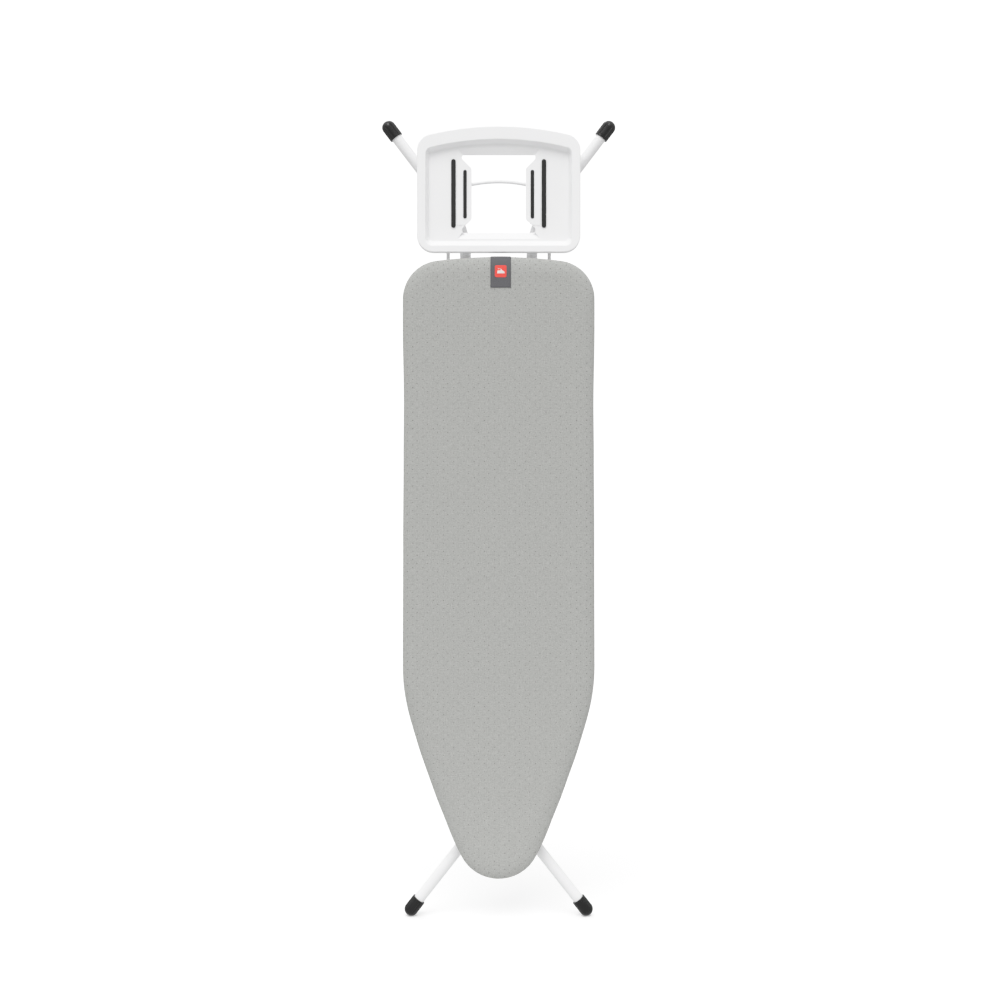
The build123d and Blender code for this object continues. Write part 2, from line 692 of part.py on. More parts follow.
def leg_tube(x, foot_x, splay, bolt_hole):
    leg = tube(leg_path(x, foot_x, splay), LEG_RADIUS, LEG_BORE)
    leg -= cross_bar(x - 20, x + 20, 0, 0, ROD_RADIUS + ROD_FIT)
    return leg - cross_bar(x - 20, x + 20, ARM, 0, bolt_hole)


CAP_FLUTES = 8
FLUTE_RADIUS = 3.2
FLUTE_DEPTH = 1.2
FLUTE_Z = (4.0 - CAP_LENGTH, 9.0)    # from the cap's mouth to where it runs out on the round end


def foot_cap(foot_x, splay):
    """Moulded cap with a round end and lengthwise flutes, pushed over the tube."""
    body = Cylinder(CAP_RADIUS, CAP_LENGTH, align=(Align.CENTER, Align.CENTER, Align.MAX))
    body = chamfer(body.edges().group_by(Axis.Z)[0], 0.8)
    cap = body + Sphere(CAP_RADIUS)
    flute_x = CAP_RADIUS + FLUTE_RADIUS - FLUTE_DEPTH
    for turn in range(CAP_FLUTES):
        flute = bar((flute_x, 0, FLUTE_Z[0]), (flute_x, 0, FLUTE_Z[1]), FLUTE_RADIUS)
        cap -= Rot(0, 0, 360 / CAP_FLUTES * (turn + 0.5)) * flute
    cap -= Pos(0, 0, 0.3) * Cylinder(LEG_RADIUS + 0.1, 60, align=(Align.CENTER, Align.CENTER, Align.MAX))
    tilt = math.radians(splay)
    direction = (math.sin(tilt), math.cos(tilt), 0)
    seat = Plane(origin=(foot_x, LEG_REACH, 0), x_dir=(0, 0, 1), z_dir=direction)
    return seat.location * cap


def tube_plug(x):
    """Plug in the tube's cut end, above the pivot."""
    end = -LEG_OVERHANG
    head = bar((x, end, 0), (x, end - 2.5, 0), LEG_RADIUS)
    head = fillet(head.edges().group_by(Axis.Y)[0], 1.2)
    return head + bar((x, end, 0), (x, end + 2.5, 0), LEG_BORE - 0.05)


def inner_brace(v):
    """Round cross tube, its ends coped to the legs."""
    brace = cross_bar(-INNER_X, INNER_X, v, 0, 7) - cross_bar(-INNER_X - 1, INNER_X + 1, v, 0, 5.8)
    for sign in (-1, 1):
        brace -= bar((sign * INNER_X, v - 20, 0), (sign * INNER_X, v + 20, 0), LEG_RADIUS)
    return max(brace.solids(), key=lambda solid: solid.volume)


BRACE_SHEET = 3.0
BRACE_HALF_X = 80.0
BRACE_HALF_V = 15.0
BRACE_SCREW_RADIUS = 2.0


def outer_brace(v):
    """Flat steel strap across the back of the outer legs."""
    back = -LEG_RADIUS
    face = Rectangle(2 * BRACE_HALF_X, 2 * BRACE_HALF_V)
    face = Pos(0, v, 0) * fillet(face.vertices(), 8)
    strap = slab(face, back - BRACE_SHEET, back)
    for sign in (-1, 1):
        strap -= bar((sign * OUTER_X, v, -30), (sign * OUTER_X, v, 0), BRACE_SCREW_RADIUS + 0.05)
    return strap


def brace_screw(x, v):
    seat = -LEG_RADIUS - BRACE_SHEET
    head = bar((x, v, seat), (x, v, seat - 2.6), 4.2)
    head = fillet(head.edges().group_by(Axis.Z)[0], 1.6)
    screw = head + bar((x, v, seat), (x, v, -LEG_BORE + 2.5), BRACE_SCREW_RADIUS)
    screw -= block((x - 2.8, x + 2.8), (v - 0.5, v + 0.5), (seat - 3, seat - 1.2))
    return screw - block((x - 0.5, x + 0.5), (v - 2.8, v + 2.8), (seat - 3, seat - 1.2))


def outer_leg():
    leg = leg_tube(OUTER_X, OUTER_FOOT_X, OUTER_SPLAY, BOLT_RADIUS + 0.08)
    for v in (LOCK_V, END_BRACE_V):
        leg -= bar((OUTER_X, v, -30), (OUTER_X, v, 0), BRACE_SCREW_RADIUS + 0.05)
    return leg


# Scissor bolts: one through each inner and outer leg pair.
BOLT_RADIUS = 4.0
BOLT_HEAD_X = OUTER_X + LEG_RADIUS + 0.3
NUT_X = INNER_X - LEG_RADIUS


def scissor_bolt():
    bolt = cross_bar(NUT_X - 7, BOLT_HEAD_X, ARM, 0, BOLT_RADIUS)
    head = cross_bar(BOLT_HEAD_X, BOLT_HEAD_X + 4.5, ARM, 0, 8)
    head = fillet(head.edges().group_by(Axis.X)[-1], 2.5)
    return bolt + head


def scissor_nut():
    hexagon = Plane(origin=(NUT_X, ARM, 0), z_dir=(-1, 0, 0)) * RegularPolygon(7.2, 6)
    return extrude(hexagon, amount=5.5, dir=(-1, 0, 0)) - cross_bar(0, NUT_X + 1, ARM, 0, BOLT_RADIUS + 0.03)


def scissor_spacer():
    x0 = INNER_X + LEG_RADIUS
    ring = cross_bar(x0, OUTER_X - LEG_RADIUS - 0.3, ARM, 0, 9)
    return ring - cross_bar(x0 - 1, OUTER_X, ARM, 0, BOLT_RADIUS + 0.03)


def pivot_rod_cap():
    """Push-on cap that keeps the fixed rod in its bracket ears."""
    cap = cross_bar(EAR_X[1] + 0.8, EAR_X[1] + 8.5, 0, 0, 8)
    cap = fillet(cap.edges().group_by(Axis.X)[-1], 3)
    return cap - cross_bar(0, INNER_ROD_HALF + 0.2, 0, 0, ROD_RADIUS + 0.02)


INNER_ROD_HALF = 90.0
SLIDE_ROD_HALF = 103.0


# ---------------------------------------------------------------- carriage and release lever
GLIDE_X = (86.5, 103.0)
GLIDE_HALF_S = 15.0
GLIDE_D = (11.0, 35.5)


def glide():
    span = (SLIDE_PIVOT_S - GLIDE_HALF_S, SLIDE_PIVOT_S + GLIDE_HALF_S)
    body = block(GLIDE_X, span, GLIDE_D)
    body = fillet(body.edges().filter_by(Axis.X), 4)
    return body - cross_bar(80, 110, SLIDE_PIVOT_S, PIVOT_DEPTH, ROD_RADIUS + ROD_FIT)


HUB_RADIUS = 8.5
HUB_HALF = 7.0
LEVER_WIRE_RADIUS = 3.0
LEVER_WIRE_S = 20.0
LEVER_STEP_D = 47.0
GRIP_X = 125.0
GRIP_S = (-122.0, -42.0)


def lever_pawl():
    """Hub on the sliding rod with a toothed nose pointing at the rack."""
    s0, d0 = SLIDE_PIVOT_S, PIVOT_DEPTH
    hub = cross_bar(-HUB_HALF, HUB_HALF, s0, d0, HUB_RADIUS)
    nose = polygon(
        (s0 - 2, d0 - HUB_RADIUS + 0.5),
        (s0 + TOOTH_OFFSET - 4, TOOTH_TIP + 3.5),
        (s0 + TOOTH_OFFSET - 2.5, TOOTH_TIP),
        (s0 + TOOTH_OFFSET + 2, TOOTH_TIP),
        (s0 + TOOTH_OFFSET + 3, d0 + 5),
        (s0 + 14, d0 + 8),
        (s0, d0 + HUB_RADIUS - 0.5),
    )
    pawl = hub + prism_x(nose, HUB_HALF - 1)
    pawl -= cross_bar(-10, 10, s0, d0, ROD_RADIUS + ROD_FIT)
    return pawl - cross_bar(-4, 10, s0 + LEVER_WIRE_S, PIVOT_DEPTH + 1.5, LEVER_WIRE_RADIUS + 0.02)


def lever_wire_path():
    """From the pawl, around the outer leg and the rail, then back along the board."""
    s0 = SLIDE_PIVOT_S
    near, back = PIVOT_DEPTH + 1.5, LEVER_STEP_D
    return FilletPolyline(
        (-4, s0 + LEVER_WIRE_S, near),
        (57, s0 + LEVER_WIRE_S, near),
        (77, s0 + LEVER_WIRE_S, back),
        (GRIP_X, s0 + LEVER_WIRE_S, back),
        (GRIP_X, s0 + GRIP_S[0] + 6, back),
        radius=(7, 7, 12),
    )


def lever_grip():
    """Soft sleeve over the wire's end, waisted for the fingers."""
    s0 = SLIDE_PIVOT_S
    first, last = s0 + GRIP_S[0], s0 + GRIP_S[1]
    middle = (first + last) / 2
    profile = [
        Line((0, first), (5, first)),
        ThreePointArc((5, first), (7.1, first + 0.9), (8, first + 3)),
        Spline((8, first + 3), (6.9, middle), (8, last - 3), tangents=((0, 1), (0, 1))),
        ThreePointArc((8, last - 3), (7.1, last - 0.9), (5, last)),
        Line((5, last), (0, last)),
        Line((0, last), (0, first)),
    ]
    body = revolve(make_face(profile), axis=Axis.Y)
    body -= bar((0, first + 5.8, 0), (0, last + 1, 0), LEVER_WIRE_RADIUS + 0.02)
    return Pos(GRIP_X, 0, LEVER_STEP_D) * body


SPRING_RADIUS = 6.6
SPRING_WIRE = 0.8


def lever_spring():
    """Torsion spring wound round the sliding rod beside the pawl."""
    coil = Helix(pitch=1.9, height=13.3, radius=SPRING_RADIUS)
    wire = swept(coil, SPRING_WIRE)
    seat = Plane(origin=(HUB_HALF + 1.5, SLIDE_PIVOT_S, PIVOT_DEPTH), x_dir=(0, 1, 0), z_dir=(1, 0, 0))
    return seat.location * wire


# ---------------------------------------------------------------- transport lock
LOCK_POST_RADIUS = 4.0
LOCK_ARM_REACH = 22.0
LOCK_ARM_N = (19.9, 24.9)
KNOB_RADIUS = 12.0


def lock_hook():
    """Post through the strap with a cross arm that reaches over an inner brace."""
    post = bar((0, LOCK_V, -LEG_RADIUS - BRACE_SHEET - 6), (0, LOCK_V, LOCK_ARM_N[0]), LOCK_POST_RADIUS)
    arm = Pos(LOCK_ARM_REACH / 2 - 2, LOCK_V, 0) * SlotOverall(LOCK_ARM_REACH + 4, 2 * LOCK_POST_RADIUS)
    return post + slab(arm, *LOCK_ARM_N)


def lock_knob():
    front = -LEG_RADIUS - BRACE_SHEET - 0.4
    knob = bar((0, LOCK_V, front), (0, LOCK_V, front - 7.5), KNOB_RADIUS)
    knob = fillet(knob.edges().group_by(Axis.Z)[0], 2)
    knob -= bar((0, LOCK_V, 0), (0, LOCK_V, -LEG_RADIUS - BRACE_SHEET - 6.02), LOCK_POST_RADIUS + 0.02)
    for turn in range(12):
        place = math.radians(30 * turn)
        x = (KNOB_RADIUS + 0.6) * math.cos(place)
        v = LOCK_V + (KNOB_RADIUS + 0.6) * math.sin(place)
        knob -= bar((x, v, 0), (x, v, -40), 1.4)
    return knob


# ---------------------------------------------------------------- all the pieces
def add_pair(name, right, place):
    NODES[name + "_right"] = place(right)
    NODES[name + "_left"] = place(mirrored(right))


def build_board():
    NODES["board_panel"] = on_board(board_panel())
    NODES["rim_tube"] = on_board(rim_tube())
    for number, (s, back) in enumerate(zip(RIB_S, RIB_BACKS), start=1):
        NODES[f"cross_rib_{number}"] = on_board(cross_rib(s, back))
    add_pair("slide_rail", slide_rail(), on_board)
    NODES["height_rack"] = on_board(height_rack())
    add_pair("pivot_bracket", pivot_bracket(), on_board)
    add_pair("holder_bracket", holder_bracket(), on_board)
    NODES["frame_rivets"] = on_board(frame_rivets())
    NODES["underlay_pad"] = on_board(underlay_pad())
    NODES["cover"] = on_board(cover())
    NODES["cover_label"] = on_board(label_solid())


def build_holder():
    NODES["holder_tray"] = on_board(holder_tray())
    NODES["holder_wire"] = on_board(holder_wire())
    for name in STRIPS:
        NODES[name + "_right"] = on_board(silicone_strip(name, 1))
        NODES[name + "_left"] = on_board(silicone_strip(name, -1))
    clips = [wire_clip(s) for s in CLIP_S]
    NODES["wire_clips"] = on_board(group(*clips, *[mirrored(clip) for clip in clips]))
    NODES["clip_screws"] = on_board(group(*[clip_screw(x, s) for x, s in clip_screw_places()]))
    nut = wire_end_nut()
    NODES["wire_end_nuts"] = on_board(group(nut, mirrored(nut)))


def build_inner_legs():
    leg = leg_tube(INNER_X, INNER_FOOT_X, INNER_SPLAY, BOLT_RADIUS + 0.02)
    add_pair("inner_leg", leg, on_inner)
    for name, v in zip(("upper", "middle", "lower"), INNER_BRACES):
        NODES["inner_brace_" + name] = on_inner(inner_brace(v))
    add_pair("inner_foot", foot_cap(INNER_FOOT_X, INNER_SPLAY), on_inner)
    rod = chamfer(cross_bar(-INNER_ROD_HALF, INNER_ROD_HALF, 0, 0, ROD_RADIUS).edges(), 0.5)
    NODES["inner_pivot_rod"] = on_inner(rod)
    NODES["pivot_rod_caps"] = on_inner(group(pivot_rod_cap(), mirrored(pivot_rod_cap())))
    add_pair("scissor_bolt", scissor_bolt(), on_inner)
    NODES["scissor_spacers"] = on_inner(group(scissor_spacer(), mirrored(scissor_spacer())))
    NODES["scissor_nuts"] = on_inner(group(scissor_nut(), mirrored(scissor_nut())))
    NODES["inner_tube_plugs"] = on_inner(group(tube_plug(INNER_X), tube_plug(-INNER_X)))


def build_outer_legs():
    add_pair("outer_leg", outer_leg(), on_outer)
    lock_hole = bar((0, LOCK_V, -30), (0, LOCK_V, 0), LOCK_POST_RADIUS + 0.1)
    NODES["outer_brace_middle"] = on_outer(outer_brace(LOCK_V) - lock_hole)
    NODES["outer_brace_end"] = on_outer(outer_brace(END_BRACE_V))
    screws = [brace_screw(sign * OUTER_X, v) for v in (LOCK_V, END_BRACE_V) for sign in (-1, 1)]
    NODES["brace_screws"] = on_outer(group(*screws))
    add_pair("outer_foot", foot_cap(OUTER_FOOT_X, OUTER_SPLAY), on_outer)
    rod = chamfer(cross_bar(-SLIDE_ROD_HALF, SLIDE_ROD_HALF, 0, 0, ROD_RADIUS).edges(), 0.5)
    NODES["slide_rod"] = on_outer(rod)
    NODES["outer_tube_plugs"] = on_outer(group(tube_plug(OUTER_X), tube_plug(-OUTER_X)))
    NODES["lock_hook"] = on_outer(lock_hook())
    NODES["lock_knob"] = on_outer(lock_knob())


def build_carriage():
    add_pair("glide", glide(), on_board)
    NODES["lever_pawl"] = on_board(lever_pawl())
    NODES["lever_wire"] = on_board(swept(lever_wire_path(), LEVER_WIRE_RADIUS))
    NODES["lever_grip"] = on_board(lever_grip())
    NODES["lever_spring"] = on_board(lever_spring())


def main():
    build_board()
    build_holder()
    build_inner_legs()
    build_outer_legs()
    build_carriage()
    os.makedirs("parts", exist_ok=True)
    for name, shape in NODES.items():
        export_step(shape, f"parts/{name}.step")
    print(len(NODES), "nodes; tail edge at z =", round(TAIL_HEIGHT, 2), "depth", round(DEPTH, 2))
    print("rack notches at s =", [round(s, 1) for s in notch_places()])


main()
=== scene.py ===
import json
import math

import bmesh
import bpy
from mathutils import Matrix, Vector, noise


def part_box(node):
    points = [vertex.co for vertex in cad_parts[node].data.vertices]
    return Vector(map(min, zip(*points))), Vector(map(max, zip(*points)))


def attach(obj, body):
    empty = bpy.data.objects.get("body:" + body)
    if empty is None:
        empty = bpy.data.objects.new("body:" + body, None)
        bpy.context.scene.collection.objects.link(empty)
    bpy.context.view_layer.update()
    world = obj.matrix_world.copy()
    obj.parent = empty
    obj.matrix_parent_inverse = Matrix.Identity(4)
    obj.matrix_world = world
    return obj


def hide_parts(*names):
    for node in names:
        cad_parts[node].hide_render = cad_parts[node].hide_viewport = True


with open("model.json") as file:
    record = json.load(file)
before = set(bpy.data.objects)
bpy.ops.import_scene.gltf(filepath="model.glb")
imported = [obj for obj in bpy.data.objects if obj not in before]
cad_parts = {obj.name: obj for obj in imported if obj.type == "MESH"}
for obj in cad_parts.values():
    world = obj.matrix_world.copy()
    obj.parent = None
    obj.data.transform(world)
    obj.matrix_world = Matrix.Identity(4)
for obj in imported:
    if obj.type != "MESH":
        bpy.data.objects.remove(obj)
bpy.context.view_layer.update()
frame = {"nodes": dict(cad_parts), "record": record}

# The folded ironing board stands upright. The CAD frame gives every place; lengths here are metres.
COVER_LOW, COVER_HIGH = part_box("cover")
TAIL_Z = COVER_HIGH.z           # the square end's edge, at the top
FACE_Y = COVER_LOW.y            # the ironing surface
LENGTH = COVER_HIGH.z - COVER_LOW.z
HALF = (COVER_HIGH.x - COVER_LOW.x) / 2

# The board's outline, as the CAD cover has it.
TAIL_RADIUS = 1.0
CORNER_RADIUS = 0.075
SHOULDER_RADIUS = 0.4
NOSE_RADIUS = 0.082
TAPER = math.radians(19.6)        # the straight taper's slope
CHEEK = TAPER + math.radians(11.0)   # the slope where the nose's arc begins


def place(x, s, d):
    """Row-frame point from board coordinates: across, down from the tail edge, back from the face."""
    return Vector((x, FACE_Y + d, TAIL_Z - s))


# ------------------------------------------------------------------ node helpers
class Shader:
    """A material with a Principled BSDF and short calls to add nodes."""

    def __init__(self, name, **inputs):
        self.material = bpy.data.materials.new(name)
        self.material.use_nodes = True
        self.tree = self.material.node_tree
        self.tree.nodes.clear()
        self.out = self.add("ShaderNodeOutputMaterial")
        self.bsdf = self.add("ShaderNodeBsdfPrincipled")
        self.link(self.bsdf.outputs[0], self.out.inputs["Surface"])
        for key, value in inputs.items():
            self.bsdf.inputs[key.replace("_", " ")].default_value = value

    def add(self, kind, **settings):
        node = self.tree.nodes.new(kind)
        for key, value in settings.items():
            setattr(node, key, value)
        return node

    def link(self, source, target):
        if hasattr(source, "links"):
            self.tree.links.new(source, target)
        else:
            target.default_value = source

    def coordinates(self, kind="Object"):
        return self.add("ShaderNodeTexCoord").outputs[kind]

    def scaled(self, vector, scale):
        node = self.add("ShaderNodeVectorMath", operation="MULTIPLY")
        self.link(vector, node.inputs[0])
        node.inputs[1].default_value = scale
        return node.outputs[0]

    def noise(self, vector, scale, detail=2.0, roughness=0.5):
        node = self.add("ShaderNodeTexNoise")
        self.link(vector, node.inputs["Vector"])
        node.inputs["Scale"].default_value = scale
        node.inputs["Detail"].default_value = detail
        node.inputs["Roughness"].default_value = roughness
        return node.outputs["Fac"]

    def math(self, operation, a, b=0.0, c=0.0):
        node = self.add("ShaderNodeMath", operation=operation)
        for socket, value in zip(node.inputs, (a, b, c)):
            self.link(value, socket)
        return node.outputs[0]

    def remap(self, value, low, high, to_low, to_high):
        node = self.add("ShaderNodeMapRange")
        for socket, entry in zip(node.inputs, (value, low, high, to_low, to_high)):
            self.link(entry, socket)
        return node.outputs[0]

    def mix(self, factor, first, second):
        node = self.add("ShaderNodeMix", data_type="RGBA")
        self.link(factor, node.inputs["Factor"])
        for socket, value in ((node.inputs[6], first), (node.inputs[7], second)):
            self.link(value, socket)
        return node.outputs[2]

    def bump(self, height, strength, distance):
        node = self.add("ShaderNodeBump")
        self.link(height, node.inputs["Height"])
        node.inputs["Strength"].default_value = strength
        node.inputs["Distance"].default_value = distance
        self.link(node.outputs[0], self.bsdf.inputs["Normal"])

    def paint(self, colour):
        self.link(colour, self.bsdf.inputs["Base Color"])

    def roughen(self, value, to_low, to_high, low=0.3, high=0.7):
        """Roughness from to_low to to_high as the value goes from low to high."""
        self.link(self.remap(value, low, high, to_low, to_high), self.bsdf.inputs["Roughness"])


def grey(value, warm=0.0):
    return (value + warm, value, value - warm, 1.0)


def shaded(colour, share):
    """A colour with its brightness multiplied, opaque and no brighter than white."""
    return tuple(min(1.0, value * share) for value in colour[:3]) + (1.0,)


# ------------------------------------------------------------------ materials
def drifting(name, colour, scale, detail):
    """A material whose tone drifts slowly over the part, and the position that its grain goes by."""
    shader = Shader(name, Specular_IOR_Level=0.5)
    position = shader.coordinates()
    drift = shader.noise(position, scale, detail)
    shader.paint(shader.mix(drift, shaded(colour, 0.96), colour))
    return shader, position


def powder_coat(name, colour, roughness):
    """Baked coating: a faint orange-peel surface and a slow drift in tone."""
    shader, position = drifting(name, colour, 9.0, 3.0)
    fine = shader.noise(position, 1100.0)
    shader.roughen(fine, roughness - 0.04, roughness + 0.05)
    shader.bump(fine, 0.05, 0.0001)
    return shader.material


def moulded(name, colour, roughness, grain=1800.0, depth=0.10):
    """Injection-moulded plastic with a fine eroded grain."""
    shader, position = drifting(name, colour, 14.0, 2.0)
    fine = shader.noise(position, grain, 2.0, 0.6)
    shader.roughen(fine, roughness - 0.05, roughness + 0.05)
    shader.bump(fine, depth, 0.0002)
    return shader.material


def rubber(name, value, roughness, bloom=0.5):
    """Black rubber with a little dusty bloom."""
    shader = Shader(name, Specular_IOR_Level=0.45)
    position = shader.coordinates()
    cloud = shader.noise(position, 45.0, 3.0)
    shader.paint(shader.mix(cloud, grey(value), grey(value * (1.0 + bloom) + 0.004)))
    shader.roughen(cloud, roughness - 0.06, roughness + 0.08)
    shader.bump(shader.noise(position, 1500.0), 0.05, 0.0001)
    return shader.material


def plated(name, value, roughness):
    """Zinc-plated steel with faint drawn streaks."""
    shader = Shader(name, Metallic=1.0)
    streaks = shader.noise(shader.scaled(shader.coordinates(), (40.0, 900.0, 900.0)), 1.0, 3.0)
    shader.paint(shader.mix(streaks, grey(value * 0.82, 0.006), grey(value)))
    shader.roughen(streaks, roughness - 0.07, roughness + 0.1)
    shader.bump(streaks, 0.08, 0.0001)
    return shader.material


def felt(name, value):
    """Needled felt: soft tufts with loose fibres lying across them."""
    shader = Shader(name, Roughness=0.95, Specular_IOR_Level=0.2, Sheen_Weight=0.3, Sheen_Roughness=0.6)
    position = shader.coordinates()
    tufts = shader.noise(position, 260.0, 4.0, 0.7)
    fibres = shader.noise(shader.scaled(position, (2600.0, 300.0, 900.0)), 1.0, 3.0, 0.7)
    tone = shader.mix(tufts, grey(value * 0.82, 0.012), grey(value, 0.012))
    shader.paint(shader.mix(0.3, tone, shader.mix(fibres, grey(0.3), grey(0.9))))
    shader.bump(shader.math("ADD", tufts, fibres), 0.6, 0.0008)
    return shader.material


def weave_height(shader, flat, pitch):
    """Plain weave from the cloth's flat coordinates, yarns over and under at this pitch."""
    split = shader.add("ShaderNodeSeparateXYZ")
    shader.link(flat, split.inputs[0])
    turns = math.pi / pitch
    across = shader.math("SINE", shader.math("MULTIPLY", split.outputs[0], turns))
    along = shader.math("SINE", shader.math("MULTIPLY", split.outputs[1], turns))
    return shader.math("MULTIPLY", across, along)


def lattice_dots(shader, flat, pitch, offset, radius):
    """1 inside small round dots on a rectangular lattice, 0 between them."""
    split = shader.add("ShaderNodeSeparateXYZ")
    shader.link(flat, split.inputs[0])
    reach = []
    for axis in range(2):
        moved = shader.math("SUBTRACT", split.outputs[axis], offset[axis])
        reach.append(shader.math("WRAP", moved, pitch[axis] / 2, -pitch[axis] / 2))
    squares = [shader.math("MULTIPLY", value, value) for value in reach]
    distance = shader.math("SQRT", shader.math("ADD", squares[0], squares[1]))
    return shader.remap(distance, radius * 0.75, radius * 1.25, 1.0, 0.0)


# The cover's dots stand in two interleaved sets.
DOT_PITCH = (0.0204, 0.0163)    # across and along, in each set
DOT_SETS = ((-0.0080, 0.0155), (0.0006, 0.0073))   # a dot of each, from the centre line and the tail edge
DOT_RADIUS = 0.0009
DOT_COLOUR = (0.125, 0.123, 0.112, 1.0)
YARN_DARK = (0.260, 0.263, 0.251, 1.0)
YARN_LIGHT = (0.512, 0.516, 0.498, 1.0)
COVER_YARN_PITCH = 0.0005
RIBBON_YARN_PITCH = 0.0004


def edge_share(shader, flat):
    """0 on the middle of the board, rising to about a half near its sides, tail and nose."""
    split = shader.add("ShaderNodeSeparateXYZ")
    shader.link(flat, split.inputs[0])
    side = shader.remap(shader.math("ABSOLUTE", split.outputs[0]), HALF - 0.05, HALF, 0.0, 0.4)
    tail = shader.remap(split.outputs[1], 0.08, 0.01, 0.0, 0.5)
    nose = shader.remap(split.outputs[1], LENGTH - 0.09, LENGTH, 0.0, 0.4)
    return shader.math("MAXIMUM", side, shader.math("MAXIMUM", tail, nose))


def cover_cloth(name):
    """Light grey cotton with a fine melange and two staggered sets of small dark dots."""
    shader = Shader(name, Specular_IOR_Level=0.25, Sheen_Weight=0.12, Sheen_Roughness=0.5)
    flat = shader.coordinates("UV")
    speck = shader.noise(flat, 430.0, 3.0, 0.75)
    warp = shader.noise(shader.scaled(flat, (1400.0, 60.0, 1.0)), 1.0, 2.0)
    weft = shader.noise(shader.scaled(flat, (60.0, 1400.0, 1.0)), 1.0, 2.0)
    yarns = shader.math("ADD", shader.math("MULTIPLY", warp, 0.5), shader.math("MULTIPLY", weft, 0.5))
    melange = shader.mix(shader.remap(speck, 0.32, 0.68, 0.0, 1.0), YARN_DARK, YARN_LIGHT)
    streaked = shader.mix(shader.remap(yarns, 0.35, 0.65, 0.0, 1.0), YARN_DARK, YARN_LIGHT)
    ground = shader.mix(0.4, melange, streaked)
    first, second = [lattice_dots(shader, flat, DOT_PITCH, offset, DOT_RADIUS) for offset in DOT_SETS]
    dots = shader.math("ADD", first, second)
    uneven = shader.remap(shader.noise(flat, 75.0, 1.0), 0.3, 0.7, 0.3, 0.9)
    uneven = shader.math("ADD", uneven, edge_share(shader, flat))
    shader.paint(shader.mix(shader.math("MULTIPLY", dots, uneven), ground, DOT_COLOUR))
    shader.roughen(speck, 0.82, 0.95)
    yarn_relief = weave_height(shader, flat, COVER_YARN_PITCH)
    shader.bump(shader.math("ADD", yarn_relief, shader.math("MULTIPLY", speck, 0.8)), 0.35, 0.00012)
    return shader.material


def woven(name, colour, contrast=0.12, sheen=0.1):
    """A plain woven ribbon or thread in one colour, with painted shade in the weave's dips and random
    mottling.
    """
    shader = Shader(name, Specular_IOR_Level=0.3, Sheen_Weight=sheen)
    flat = shader.coordinates("UV")
    height = weave_height(shader, flat, RIBBON_YARN_PITCH)
    # The colour follows the weave's relief, darker in its dips: painted shade, mixed with random mottling.
    mottle_and_weave_shade = shader.math("ADD", shader.math("MULTIPLY", height, 0.35), shader.noise(flat, 700.0, 3.0))
    shade = shader.remap(mottle_and_weave_shade, 0.2, 0.9, 0.0, 1.0)
    shader.paint(shader.mix(shade, shaded(colour, 1.0 - contrast), shaded(colour, 1.0 + contrast)))
    shader.roughen(mottle_and_weave_shade, 0.8, 0.92, 0.2, 0.9)
    shader.bump(height, 0.5, 0.0001)
    return shader.material


MATERIALS = {
    "cover_cloth": cover_cloth("cloth_dotted_grey"),
    "label_cloth": woven("ribbon_dark_grey", (0.116, 0.116, 0.123)),
    "pad_felt": felt("felt_natural", 0.72),
    "coated_steel": powder_coat("coat_light_grey", (0.74, 0.75, 0.76, 1.0), 0.38),
    "leg_coating": powder_coat("coat_white_tube", (0.87, 0.87, 0.875, 1.0), 0.3),
    "coated_wire": powder_coat("coat_white_wire", (0.86, 0.86, 0.865, 1.0), 0.3),
    "tray_plastic": moulded("plastic_white", (0.925, 0.925, 0.93, 1.0), 0.36),
    "strip_silicone": rubber("silicone_black", 0.003, 0.45),
    "cap_rubber": rubber("rubber_cap_black", 0.001, 0.27, 1.5),
    "nylon_black": moulded("nylon_black", (0.022, 0.022, 0.024, 1.0), 0.42, 900.0, 0.2),
    "nylon_grey": moulded("nylon_grey", (0.24, 0.25, 0.26, 1.0), 0.45, 900.0, 0.2),
    "grip_rubber": rubber("rubber_grip", 0.02, 0.6),
    "zinc_steel": plated("zinc_bright", 0.62, 0.33),
    "spring_steel": plated("spring_wire", 0.42, 0.3),
}


def dress_cad_nodes():
    """Every CAD node takes the material of its slot."""
    for part in frame["record"]["subparts"]:
        node = frame["nodes"][part["node"]]
        node.data.materials.clear()
        node.data.materials.append(MATERIALS[part["material_slot"]])


# ------------------------------------------------------------------ outline
def outline_arcs():
    """Half outline as (centre x, centre s, radius, first normal, last normal), in radians."""
    corner_x = HALF - CORNER_RADIUS
    corner_s = TAIL_RADIUS - math.sqrt((TAIL_RADIUS - CORNER_RADIUS) ** 2 - corner_x ** 2)
    tail_end = math.atan2(corner_s - TAIL_RADIUS, corner_x)
    left_over = HALF - SHOULDER_RADIUS * (1 - math.cos(CHEEK)) - NOSE_RADIUS * math.cos(CHEEK)
    taper_length = left_over / math.sin(TAPER)
    nose_s = LENGTH - NOSE_RADIUS
    cheek_x = -(SHOULDER_RADIUS - NOSE_RADIUS) * math.cos(CHEEK)
    cheek_s = nose_s - (SHOULDER_RADIUS - NOSE_RADIUS) * math.sin(CHEEK)
    shoulder_s = cheek_s - taper_length * math.cos(TAPER)
    return [
        (0, TAIL_RADIUS, TAIL_RADIUS, -math.pi / 2, tail_end),
        (corner_x, corner_s, CORNER_RADIUS, tail_end, 0.0),
        (HALF - SHOULDER_RADIUS, shoulder_s, SHOULDER_RADIUS, 0.0, TAPER),
        (cheek_x, cheek_s, SHOULDER_RADIUS, TAPER, CHEEK),
        (0, nose_s, NOSE_RADIUS, CHEEK, math.pi / 2),
    ]


